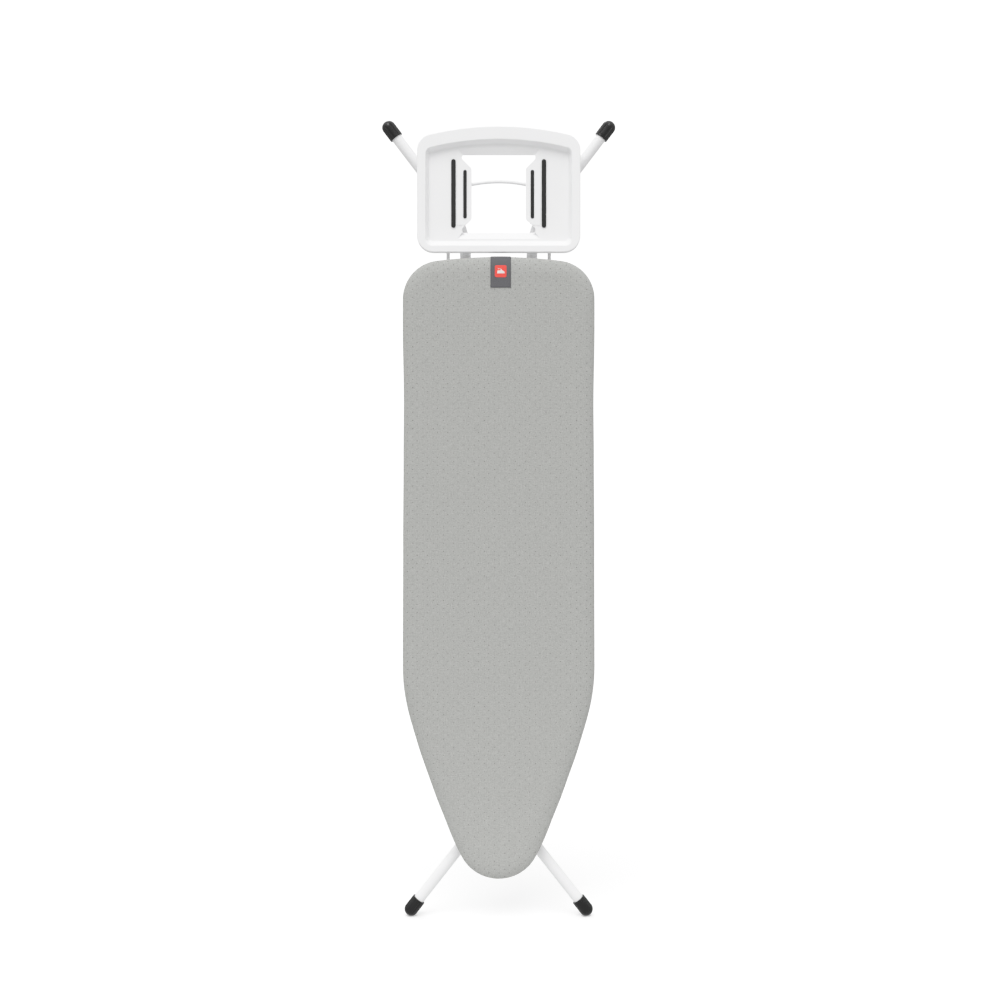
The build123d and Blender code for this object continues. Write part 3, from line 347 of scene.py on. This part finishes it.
def half_outline(step):
    """Points (x, s, normal angle) from the tail's middle round to the nose tip, about one step apart."""
    points = []
    for centre_x, centre_s, radius, first, end in outline_arcs():
        start = (centre_x + radius * math.cos(first), centre_s + radius * math.sin(first))
        if points:
            x, s, _ = points[-1]
            count = max(1, round(math.dist((x, s), start) / step))
            for k in range(1, count):
                t = k / count
                points.append((x + (start[0] - x) * t, s + (start[1] - s) * t, first))
        count = max(2, round(radius * (end - first) / step))
        for k in range(count + 1):
            turn = first + (end - first) * k / count
            points.append((centre_x + radius * math.cos(turn), centre_s + radius * math.sin(turn), turn))
    spaced = [points[0]]
    for point in points[1:]:
        if math.dist(point[:2], spaced[-1][:2]) > step * 0.2:
            spaced.append(point)
    return spaced


# Mesh rows run from a spine on the centre line out to the edge.
SPINE_START = 0.05              # the spine's ends, from the tail edge and from the nose
SPINE_SQUARE = 0.15             # rows run straight across between these two, and fan out beyond them
SPINE_TAPER = 1.10

# How far the padded edge stands out from the CAD outline, at these distances from the tail edge.
EDGE_SWELL = (
    (0.0, 0.0012), (0.14, 0.0014), (0.29, -0.0006), (0.40, 0.0002), (0.58, 0.0012), (0.84, 0.0019),
    (0.93, 0.0010), (1.00, 0.0036), (1.07, 0.0036), (1.14, 0.0014), (1.25, 0.0038),
)


def swell(s):
    """The padded edge's place beyond the CAD outline, eased between the entries of EDGE_SWELL."""
    for (first_s, first), (last_s, last) in zip(EDGE_SWELL, EDGE_SWELL[1:]):
        if s <= last_s:
            share = (s - first_s) / (last_s - first_s)
            return first + (last - first) * share ** 2 * (3 - 2 * share)
    return EDGE_SWELL[-1][1]


def outline_columns(step):
    """The whole outline as dicts: x, s, unit normal, arc length from the tail's middle, spine place."""
    half = half_outline(step)
    arc = [0.0]
    for before, after in zip(half, half[1:]):
        arc.append(arc[-1] + math.dist(before[:2], after[:2]))
    square = next(k for k, point in enumerate(half) if point[1] >= SPINE_SQUARE)
    taper = next(k for k, point in enumerate(half) if point[1] >= SPINE_TAPER)
    right = []
    for k, (x, s, angle) in enumerate(half):
        if k < square:
            spine = SPINE_START + (half[square][1] - SPINE_START) * arc[k] / arc[square]
        elif k > taper:
            share = (arc[k] - arc[taper]) / (arc[-1] - arc[taper])
            spine = half[taper][1] + (LENGTH - SPINE_START - half[taper][1]) * share
        else:
            spine = s
        nx, ns = math.cos(angle), math.sin(angle)
        out = swell(s)
        column = {"x": x + nx * out, "s": s + ns * out, "nx": nx, "ns": ns}
        right.append({**column, "arc": arc[k], "spine": spine})
    left = [{**c, "x": -c["x"], "nx": -c["nx"], "arc": -c["arc"]} for c in reversed(right[1:-1])]
    return right + left


def mesh_object(name, vertices, faces, flat, smooth=True):
    """A mesh object in the row frame, its first face to the front and its flat cloth coordinates as UVs."""
    mesh = bpy.data.meshes.new(name)
    mesh.from_pydata([tuple(v) for v in vertices], [], faces)
    mesh.validate()
    faces_back = mesh.polygons[0].normal.y > 0
    layer = mesh.uv_layers.new(name="flat")
    for loop in mesh.loops:
        layer.data[loop.index].uv = flat[loop.vertex_index]
    if faces_back:
        mesh.flip_normals()
    if smooth:
        mesh.shade_smooth()
    thing = bpy.data.objects.new(name, mesh)
    bpy.context.scene.collection.objects.link(thing)
    return thing


def ring_surface(name, columns, rows, closed=False):
    """A surface of quads round the board: rows(column) gives (x, s, d, u, v) from the spine outwards.

    Columns that meet on the spine share its vertex. A closed surface's rows end on a second spine behind.
    """
    vertices, flat, lines = [], [], []
    shared = {}
    for column in columns:
        line = []
        points = rows(column)
        on_spine = (0, len(points) - 1) if closed else (0,)
        for k, (x, s, d, u, v) in enumerate(points):
            key = (k, round(s, 7))
            if k in on_spine and key in shared:
                line.append(shared[key])
                continue
            if k in on_spine:
                shared[key] = len(vertices)
            line.append(len(vertices))
            vertices.append(place(x, s, d))
            flat.append((u, v))
        lines.append(line)
    faces = []
    for a, b in zip(lines, lines[1:] + lines[:1]):
        for k in range(len(a) - 1):
            corners = list(dict.fromkeys([a[k], a[k + 1], b[k + 1], b[k]]))
            if len(corners) >= 3:
                faces.append(corners)
    return mesh_object(name, vertices, faces, flat)


def thicken(thing, thickness, offset=1.0):
    """Give a surface its thickness, outwards, or inwards where the offset is -1."""
    modifier = thing.modifiers.new("thickness", "SOLIDIFY")
    modifier.thickness = thickness
    modifier.offset = offset


def dress(thing, slot):
    """Give a piece of the cover the material of this slot; every one of them rides on the board."""
    thing.data.materials.append(MATERIALS[slot])
    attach(thing, "board")


# ------------------------------------------------------------------ cover
ROLL_INSET = 0.034              # the face starts to roll over this far from the edge
ROLL_DEPTH = 0.012              # and has turned into the side at this depth
SIDE_END = 0.020                # depth where the side starts to roll in behind
BACK_ROLL = 0.0056
HEM_DEPTH = SIDE_END + BACK_ROLL
HEM_INSET = 0.030               # the hem's inner edge, from the board's edge
HEM_PUCKER = 0.019              # from one pucker to the next
HEM_WAVE = 0.0009               # how high they stand
GATHERED = ((0.05, 0.07), (1.20, 0.12))   # where they are strongest: distance from the tail edge, spread
CASING_RADIUS = 0.0019          # the casing is the hem's edge turned round the draw cord's place
CLOTH = 0.0008
FACE_ROWS = 34


def face_wander(x, s):
    """The soft pad's slight unevenness, in metres of depth."""
    slow = noise.noise(Vector((x * 9, s * 6, 1.7)))
    quick = noise.noise(Vector((x * 34, s * 26, 8.1)))
    return 0.00035 * slow + 0.00012 * quick


def gather(column):
    """How hard the hem is gathered here: most round the corners and the nose."""
    near = sum(math.exp(-((column["s"] - centre) / spread) ** 2) for centre, spread in GATHERED)
    return 0.25 + 0.75 * min(1.0, near)


def hem_wave(column):
    """The hem's puckers, from -1 to 1, uneven along the edge."""
    arc = column["arc"]
    drift = 2.2 * noise.noise(Vector((arc * 11, 3.3, 0.0)))
    size = 0.7 + 0.3 * noise.noise(Vector((arc * 23, 9.1, 0.0)))
    return math.sin(arc * 2 * math.pi / HEM_PUCKER + drift) * size


def quarter_roll(steps):
    """Points (angle, inset, depth) over the quarter oval from the cover's face to its side."""
    angles = [math.pi / 2 * k / steps for k in range(steps + 1)]
    return [(a, ROLL_INSET * (1 - math.sin(a)), ROLL_DEPTH * (1 - math.cos(a))) for a in angles]


def cover_profile(column):
    """(inset, depth, flat distance beyond the roll's start) outwards, over the edge and in behind."""
    profile = []
    travelled = 0.0
    last = (ROLL_INSET, 0.0)

    def go(inset, depth):
        nonlocal travelled, last
        travelled += math.dist(last, (inset, depth))
        last = (inset, depth)
        profile.append((inset, depth, travelled))

    for _, inset, depth in quarter_roll(9):
        go(inset, depth)
    for k in range(1, 4):
        go(-0.0003 * math.sin(math.pi * k / 3), ROLL_DEPTH + (SIDE_END - ROLL_DEPTH) * k / 3)
    for k in range(1, 6):
        angle = math.pi / 2 * k / 5
        go(BACK_ROLL * (1 - math.cos(angle)), SIDE_END + BACK_ROLL * math.sin(angle))
    wave, strength = hem_wave(column), gather(column)
    hem_steps = 9
    for k in range(1, hem_steps + 1):
        share = k / hem_steps
        inset = BACK_ROLL + (HEM_INSET - BACK_ROLL) * share
        pucker = wave * strength * HEM_WAVE * min(1.0, 1.4 * share)
        go(inset + 0.0010 * wave * strength * share ** 3, HEM_DEPTH + pucker)
    end_inset, end_depth = last
    for k in range(1, 8):
        angle = math.radians(38 * k)
        inset = end_inset + CASING_RADIUS * math.sin(angle)
        go(inset, end_depth - CASING_RADIUS * (1 - math.cos(angle)))
    return profile


def cover_rows(column):
    """The cover's points out from the spine, over the edge and in behind."""
    rows = []
    roll_x = column["x"] - column["nx"] * ROLL_INSET
    roll_s = column["s"] - column["ns"] * ROLL_INSET
    for k in range(FACE_ROWS):
        share = k / FACE_ROWS
        x = roll_x * share
        s = column["spine"] + (roll_s - column["spine"]) * share
        fade = min(1.0, (1 - share) * 6)
        rows.append((x, s, face_wander(x, s) * fade, x, s))
    for inset, depth, travelled in cover_profile(column):
        x = column["x"] - column["nx"] * inset
        s = column["s"] - column["ns"] * inset
        rows.append((x, s, depth, roll_x + column["nx"] * travelled, roll_s + column["ns"] * travelled))
    return rows


def make_cover():
    """The stretched cover, with its gathered hem."""
    columns = outline_columns(0.005)
    cover = ring_surface("cover_cloth", columns, cover_rows)
    thicken(cover, CLOTH, -1.0)
    dress(cover, "cover_cloth")
    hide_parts("cover")


# ------------------------------------------------------------------ felt pad
PAD_FRONT = 0.0011              # depths of its faces, behind the cover's face
PAD_BACK = 0.0074
PAD_INSET = 0.018
PAD_NOSE = 1.6                  # how far its rounded edge reaches out, in half thicknesses
PAD_DIMPLE = 0.00025            # unevenness of the back face, which stands in from the rim's back
PAD_EASE = 0.0003
PAD_ROWS = 12


def pad_rows(column):
    """Front face, rounded edge and back face of the pad, from the spine out and in again."""
    radius = (PAD_BACK - PAD_FRONT) / 2
    middle = (PAD_BACK + PAD_FRONT) / 2
    edge_x = column["x"] - column["nx"] * (PAD_INSET + radius * PAD_NOSE)
    edge_s = column["s"] - column["ns"] * (PAD_INSET + radius * PAD_NOSE)
    front, back = [], []
    for k in range(PAD_ROWS + 1):
        share = k / PAD_ROWS
        x = edge_x * share
        s = column["spine"] + (edge_s - column["spine"]) * share
        dimple = PAD_DIMPLE * noise.noise(Vector((x * 60, s * 60, 5.0)))
        front.append((x, s, PAD_FRONT, x, s))
        back.append((x, s, PAD_BACK + dimple - PAD_EASE, x, s))
    rim = []
    for k in range(1, 8):
        angle = math.pi * k / 8
        out = radius * PAD_NOSE * math.sin(angle)
        x, s = edge_x + column["nx"] * out, edge_s + column["ns"] * out
        rim.append((x, s, middle - radius * math.cos(angle), x, s))
    return front + rim + back[::-1]


def make_pad():
    pad = ring_surface("felt_pad", outline_columns(0.012), pad_rows, closed=True)
    dress(pad, "pad_felt")
    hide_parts("underlay_pad")


# ------------------------------------------------------------------ tab and care patch
LABEL_LOW, LABEL_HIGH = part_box("cover_label")
LABEL_X = (LABEL_LOW.x + LABEL_HIGH.x) / 2
LABEL_HALF = (LABEL_HIGH.x - LABEL_LOW.x) / 2
LABEL_END = TAIL_Z - LABEL_LOW.z
LABEL_BEHIND = 0.044            # how far it goes back from the roll's start, over the edge
LABEL_LIFT = 0.0006             # its underside over the cloth
LABEL_THICKNESS = 0.0006
LABEL_CURL = 0.0004             # its lower corners stand off this much
PATCH_S = 0.0302                # the patch's centre, from the tail edge
PATCH_HALF = 0.0115
PATCH_CORNER = 0.0035
PATCH_THICKNESS = 0.0004
PATCH_LIFT = LABEL_LIFT + LABEL_THICKNESS
PICTURE_LIFT = PATCH_LIFT + 0.0003   # sewn a little into the patch


def over_the_tail(distance, x, lift):
    """A point lifted off the cover at the tail: distance down from the roll's start, negative behind it."""
    edge = x * x / (2 * TAIL_RADIUS) - EDGE_SWELL[0][1]
    if distance >= 0:
        return place(x, edge + ROLL_INSET + distance, -lift)
    travelled = 0.0
    last = (ROLL_INSET, 0.0)
    for angle, inset, depth in quarter_roll(40)[1:]:
        travelled += math.dist(last, (inset, depth))
        last = (inset, depth)
        if travelled >= -distance:
            return place(x, edge + inset - math.sin(angle) * lift, depth - math.cos(angle) * lift)
    return place(x, edge - lift, ROLL_DEPTH - distance - travelled)


def make_label():
    """A woven tab sewn to the tail edge, folded over it from behind."""
    across, along = 12, 40
    start, end = LABEL_END - ROLL_INSET, -LABEL_BEHIND
    vertices, flat, faces = [], [], []
    for j in range(along + 1):
        distance = start + (end - start) * j / along
        for i in range(across + 1):
            side = 2 * i / across - 1
            x = LABEL_X + LABEL_HALF * side
            curl = LABEL_CURL * max(0.0, 1 - j / along / 0.15) * side ** 2
            vertices.append(over_the_tail(distance, x, LABEL_LIFT + curl))
            flat.append((x, distance))
    for j in range(along):
        for i in range(across):
            a = j * (across + 1) + i
            faces.append([a, a + 1, a + across + 2, a + across + 1])
    label = mesh_object("cover_tab", vertices, faces, flat)
    thicken(label, LABEL_THICKNESS)
    dress(label, "label_cloth")
    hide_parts("cover_label")


def laid_piece(name, outline, lift):
    """A thin piece that follows the tab over the roll, from (x, s) points about the patch's centre."""
    shape = bmesh.new()
    shape.faces.new([shape.verts.new((x, s, 0.0)) for x, s in outline])
    for millimetre in range(-11, 12):
        # It is cut into rows, so that it can bend.
        parts = shape.verts[:] + shape.edges[:] + shape.faces[:]
        cut = (0, millimetre * 0.001, 0)
        bmesh.ops.bisect_plane(shape, geom=parts, plane_co=cut, plane_no=(0, 1, 0))
    shape.verts.index_update()
    flat = [(v.co.x, v.co.y) for v in shape.verts]
    faces = [[v.index for v in face.verts] for face in shape.faces]
    shape.free()
    vertices = [over_the_tail(PATCH_S + s - ROLL_INSET, LABEL_X + x, lift) for x, s in flat]
    piece = mesh_object(name, vertices, faces, flat, smooth=False)
    thicken(piece, PATCH_THICKNESS)
    dress(piece, "label_cloth")
    return piece


def rounded_square(half, radius, steps=8):
    """Points round a square with arcs for corners, about its centre."""
    points = []
    for corner in range(4):
        turn = math.pi / 2 * corner
        cx = (half - radius) * (1 if corner in (0, 3) else -1)
        cs = (half - radius) * (1 if corner in (0, 1) else -1)
        for k in range(steps + 1):
            angle = turn + math.pi / 2 * k / steps
            points.append((cx + radius * math.cos(angle), cs + radius * math.sin(angle)))
    return points


def iron_outline():
    """A plain side view of an iron, as on care symbols: sole, upright heel, handle and sloping front."""
    points = [(-0.0070, 0.0040), (0.0078, 0.0040), (0.0076, 0.0030)]
    for k in range(1, 9):
        angle = math.pi / 2 * k / 8
        points.append((0.0074 - 0.0048 * (1 - math.cos(angle)), 0.0028 - 0.0034 * math.sin(angle)))
    points += [(0.0012, -0.0044), (-0.0058, -0.0044), (-0.0058, -0.0030), (-0.0002, -0.0030)]
    points += [(-0.0006, -0.0006), (-0.0062, -0.0006)]
    return points


def make_care_patch():
    """A plain coral care patch with a pale iron on it: both dressed like the tab, then given colours of
    their own.
    """
    patch = laid_piece("tab_patch", rounded_square(PATCH_HALF, PATCH_CORNER), PATCH_LIFT)
    patch.data.materials[0] = woven("ribbon_coral", (0.97, 0.088, 0.072), contrast=0.06)
    picture = laid_piece("tab_iron_picture", iron_outline(), PICTURE_LIFT)
    picture.data.materials[0] = woven("thread_pale", (0.80, 0.76, 0.74), contrast=0.05)


# ------------------------------------------------------------------ camera, light and floor
CAMERA_HEIGHT = 0.95
CAMERA_DOWN = math.radians(0.7)   # how far it tilts down
CAMERA_DISTANCE = 3.2           # from the ironing surface
VIEW_WIDTH = 1.991              # what the picture spans at the ironing surface
VIEW_CENTRE_BELOW_TAIL = 0.4836
VIEW_SHIFT_X = 0.0013           # of the picture's width
SENSOR = 36.0


def make_camera():
    camera = bpy.data.objects.new("camera", bpy.data.cameras.new("camera"))
    camera.data.sensor_width = SENSOR
    camera.data.lens = SENSOR * CAMERA_DISTANCE / VIEW_WIDTH
    looks_at = CAMERA_HEIGHT - CAMERA_DISTANCE * math.tan(CAMERA_DOWN)
    camera.data.shift_y = (TAIL_Z - VIEW_CENTRE_BELOW_TAIL - looks_at) / VIEW_WIDTH
    camera.data.shift_x = VIEW_SHIFT_X
    camera.location = (0.0, FACE_Y - CAMERA_DISTANCE, CAMERA_HEIGHT)
    camera.rotation_euler = (math.pi / 2 - CAMERA_DOWN, 0.0, 0.0)
    bpy.context.scene.collection.objects.link(camera)
    bpy.context.scene.camera = camera


# Display response: straight to a light grey, then a shoulder that keeps white surfaces from burning out.
WHITE_POINT = 1.35
SHOULDER = ((0.78, 0.78), (1.0, 0.90), (1.2, 0.965))   # scene level, shown level


def soft_highlights(view):
    view.use_curve_mapping = True
    mapping = view.curve_mapping
    mapping.white_level = (WHITE_POINT, WHITE_POINT, WHITE_POINT)
    curve = mapping.curves[3]
    for level, shown in SHOULDER:
        curve.points.new(level / WHITE_POINT, shown)
    mapping.update()


# The surround's brightness: how far up from straight down (0) to straight up (1), and the level there.
SKY = ((0.0, 0.66), (0.3, 0.62), (0.5, 0.52), (0.7, 0.72), (1.0, 1.10))


def make_world():
    """Soft white surround, brightest above and darkest at the horizon."""
    world = bpy.data.worlds.new("studio")
    bpy.context.scene.world = world
    world.use_nodes = True
    nodes, links = world.node_tree.nodes, world.node_tree.links
    coordinates = nodes.new("ShaderNodeTexCoord")
    split = nodes.new("ShaderNodeSeparateXYZ")
    height = nodes.new("ShaderNodeMapRange")
    ramp = nodes.new("ShaderNodeValToRGB")
    links.new(coordinates.outputs["Generated"], split.inputs[0])
    links.new(split.outputs[2], height.inputs["Value"])
    for socket, value in zip(height.inputs[1:5], (-1.0, 1.0, 0.0, 1.0)):
        socket.default_value = value
    links.new(height.outputs[0], ramp.inputs["Fac"])
    stops = ramp.color_ramp.elements
    while len(stops) < len(SKY):
        stops.new(0.5)
    for stop, (place_up, level) in zip(stops, SKY):
        stop.position = place_up
        stop.color = (level, level, level, 1.0)
    links.new(ramp.outputs["Color"], nodes["Background"].inputs["Color"])


def emission_material(name, strength):
    material = bpy.data.materials.new(name)
    material.use_nodes = True
    nodes = material.node_tree.nodes
    nodes.clear()
    out = nodes.new("ShaderNodeOutputMaterial")
    glow = nodes.new("ShaderNodeEmission")
    glow.inputs["Strength"].default_value = strength
    material.node_tree.links.new(glow.outputs[0], out.inputs["Surface"])
    return material


BACKDROP_LEVEL = 1.1            # in white points
FLOOR_TONE = 0.93
FLOOR_GLOW = 0.19               # keeps the floor white under the soft shadows


def make_backdrop():
    """A white surround that only the camera sees, and a white floor that takes the contact shadows."""
    bpy.ops.mesh.primitive_uv_sphere_add(segments=48, ring_count=24, radius=14.0, location=(0, 0, 0.8))
    dome = bpy.context.object
    dome.name = "backdrop"
    dome.data.materials.append(emission_material("backdrop_white", BACKDROP_LEVEL * WHITE_POINT))
    bpy.ops.mesh.primitive_circle_add(vertices=96, radius=13.0, fill_type="NGON", location=(0, 0, 0))
    floor = bpy.context.object
    floor.name = "floor"
    white = Shader("floor_white", Roughness=0.9, Specular_IOR_Level=0.0, Emission_Strength=FLOOR_GLOW)
    white.paint(grey(FLOOR_TONE))
    white.link(grey(1.0), white.bsdf.inputs["Emission Color"])
    floor.data.materials.append(white.material)
    for thing in (dome, floor):
        thing.visible_diffuse = False
        thing.visible_glossy = False
        thing.visible_transmission = False
        thing.visible_shadow = False


# Big soft lights: name, elevation and turn from the camera's side in degrees, strength, width in degrees.
LIGHTS = (("key", 55.0, -12.0, 1.75, 45.0), ("back_fill", 38.0, 205.0, 0.55, 40.0))
BOUNCE_SIZE = (1.3, 0.9)        # across and front to back
BOUNCE_POWER = 1.1
BOUNCE_HEIGHT = 0.004           # just over the floor


def make_floor_bounce():
    """Light thrown up by the bright floor, felt most by what is close to it."""
    light = bpy.data.lights.new("floor_bounce", "AREA")
    light.shape = "RECTANGLE"
    light.size, light.size_y = BOUNCE_SIZE
    light.energy = BOUNCE_POWER
    lamp = bpy.data.objects.new("floor_bounce", light)
    lamp.location = (0.0, 0.0, BOUNCE_HEIGHT)
    lamp.rotation_euler = (math.pi, 0.0, 0.0)
    lamp.visible_camera = False
    lamp.visible_glossy = False
    bpy.context.scene.collection.objects.link(lamp)


def make_lights():
    make_world()
    make_floor_bounce()
    for name, elevation, turn, strength, width in LIGHTS:
        light = bpy.data.lights.new(name, "SUN")
        light.energy = strength
        light.angle = math.radians(width)
        lamp = bpy.data.objects.new(name, light)
        lamp.rotation_euler = (math.radians(90 - elevation), 0.0, math.radians(turn))
        bpy.context.scene.collection.objects.link(lamp)


def main():
    scene = bpy.context.scene
    scene.view_settings.view_transform = "Standard"
    soft_highlights(scene.view_settings)
    make_camera()
    dress_cad_nodes()
    make_cover()
    make_pad()
    make_label()
    make_care_patch()
    make_lights()
    make_backdrop()


main()
